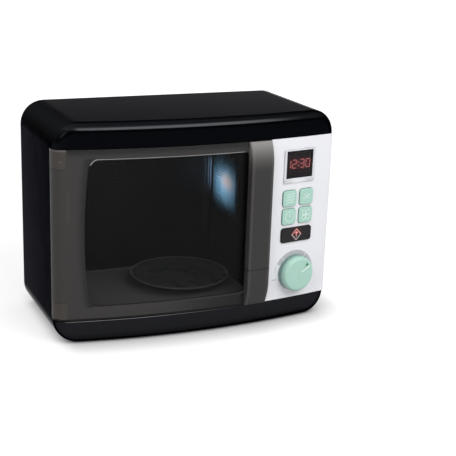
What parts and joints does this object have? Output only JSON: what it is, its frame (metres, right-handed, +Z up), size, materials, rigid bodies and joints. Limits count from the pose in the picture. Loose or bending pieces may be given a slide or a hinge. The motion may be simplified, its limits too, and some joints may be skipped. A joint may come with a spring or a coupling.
{
  "type": "toy microwave oven",
  "caption": "Toy microwave oven: rounded black case, smoked hinged door with a grip, lit cavity with a turning plate, white panel with display, press keys and a click knob.",
  "frame": {"origin": "middle of the flat underside", "axes": "+X to the right seen from the front, +Y to the back, +Z up; the door and keys face -Y"},
  "size_m": [0.3, 0.1539, 0.222],
  "materials": {
    "case_black": "gloss",
    "inner_black": "satin",
    "door_smoke": "frosted translucent",
    "window_smoke": "clear gloss",
    "handle_smoke": "translucent gloss",
    "panel_white": "satin gloss",
    "key_mint": "satin gloss",
    "start_dark": "gloss",
    "symbol_red": "lit",
    "bezel_silver": "metallic paint",
    "screen_dark": "gloss",
    "digit_red": "lit",
    "pointer_white": "matte",
    "scale_grey": "matte",
    "plate_smoke": "satin",
    "lens_blue": "moulded clear",
    "led_white": "lit",
    "reflector_white": "gloss",
    "board_green": "coated",
    "module_dark": "matte",
    "keypad_rubber": "matte",
    "nylon_white": "satin",
    "steel": "zinc plated",
    "cell_can": "gloss",
    "speaker_black": "matte",
    "wire_red": "matte"
  },
  "bodies": {
    "case": {"batteries": "cell_can", "battery_box": "inner_black", "battery_contacts": "steel", "battery_cover": "case_black", "battery_cover_screw": "steel", "board_screws": "steel", "case_shell": "case_black", "catch_spring": "steel", "cavity_liner": "inner_black", "circuit_board": "board_green", "click_spring": "steel", "control_panel": "panel_white", "cover_screws": "steel", "display_bezel": "bezel_silver", "display_digits": "digit_red", "display_module": "module_dark", "display_window": "screen_dark", "front_frame": "inner_black", "hinge_pin_lower": "steel", "hinge_pin_upper": "steel", "knob_scale": "scale_grey", "lamp_board": "board_green", "lamp_led": "led_white", "lamp_lens": "lens_blue", "lamp_reflector": "reflector_white", "panel_screws": "steel", "power_switch": "inner_black", "rear_cover": "case_black", "rubber_keypad": "keypad_rubber", "speaker": "speaker_black", "spindle_clip": "steel", "turntable_spindle": "nylon_white", "wiring": "wire_red"},
    "door": {"door_panel": "door_smoke", "door_window": "window_smoke", "door_handle": "handle_smoke", "handle_screws": "steel", "door_catch": "inner_black"},
    "turntable": {"turntable": "plate_smoke"},
    "knob": {"knob": "key_mint", "knob_pointer": "pointer_white", "ratchet_wheel": "nylon_white", "knob_screw": "steel"},
    "heat_key": {"key_heat": "key_mint"},
    "defrost_key": {"key_defrost": "key_mint"},
    "clock_key": {"key_clock": "key_mint"},
    "fan_key": {"key_fan": "key_mint"},
    "start_key": {"start_key": "start_dark", "start_symbol": "symbol_red"},
    "switch": {"switch_slider": "pointer_white"}
  },
  "joints": [
    {"name": "door_hinge", "type": "hinge", "parent": "case", "child": "door", "pos_m": [-0.1375, -0.04734, 0.111], "axis": [0, 0, -1], "range_deg": [0, 100]},
    {"name": "turntable_spin", "type": "hinge", "parent": "case", "child": "turntable", "pos_m": [0.004, 0.0015, 0.037], "axis": [0, 0, 1], "continuous": true},
    {"name": "knob_turn", "type": "hinge", "parent": "case", "child": "knob", "pos_m": [0.1068, -0.06543, 0.0525], "axis": [0.1502, -0.9887, 0], "continuous": true},
    {"name": "heat_press", "type": "slide", "parent": "case", "child": "heat_key", "axis": [-0.1502, 0.9887, 0], "range_m": [0, 0.0015], "stiffness_N_per_m": 300, "springref_m": -0.002},
    {"name": "defrost_press", "type": "slide", "parent": "case", "child": "defrost_key", "axis": [-0.1502, 0.9887, 0], "range_m": [0, 0.0015], "stiffness_N_per_m": 300, "springref_m": -0.002},
    {"name": "clock_press", "type": "slide", "parent": "case", "child": "clock_key", "axis": [-0.1502, 0.9887, 0], "range_m": [0, 0.0015], "stiffness_N_per_m": 300, "springref_m": -0.002},
    {"name": "fan_press", "type": "slide", "parent": "case", "child": "fan_key", "axis": [-0.1502, 0.9887, 0], "range_m": [0, 0.0015], "stiffness_N_per_m": 300, "springref_m": -0.002},
    {"name": "start_press", "type": "slide", "parent": "case", "child": "start_key", "axis": [-0.1502, 0.9887, 0], "range_m": [0, 0.0012], "stiffness_N_per_m": 300, "springref_m": -0.002},
    {"name": "switch_slide", "type": "slide", "parent": "case", "child": "switch", "axis": [1, 0, 0], "range_m": [0, 0.004]}
  ]
}
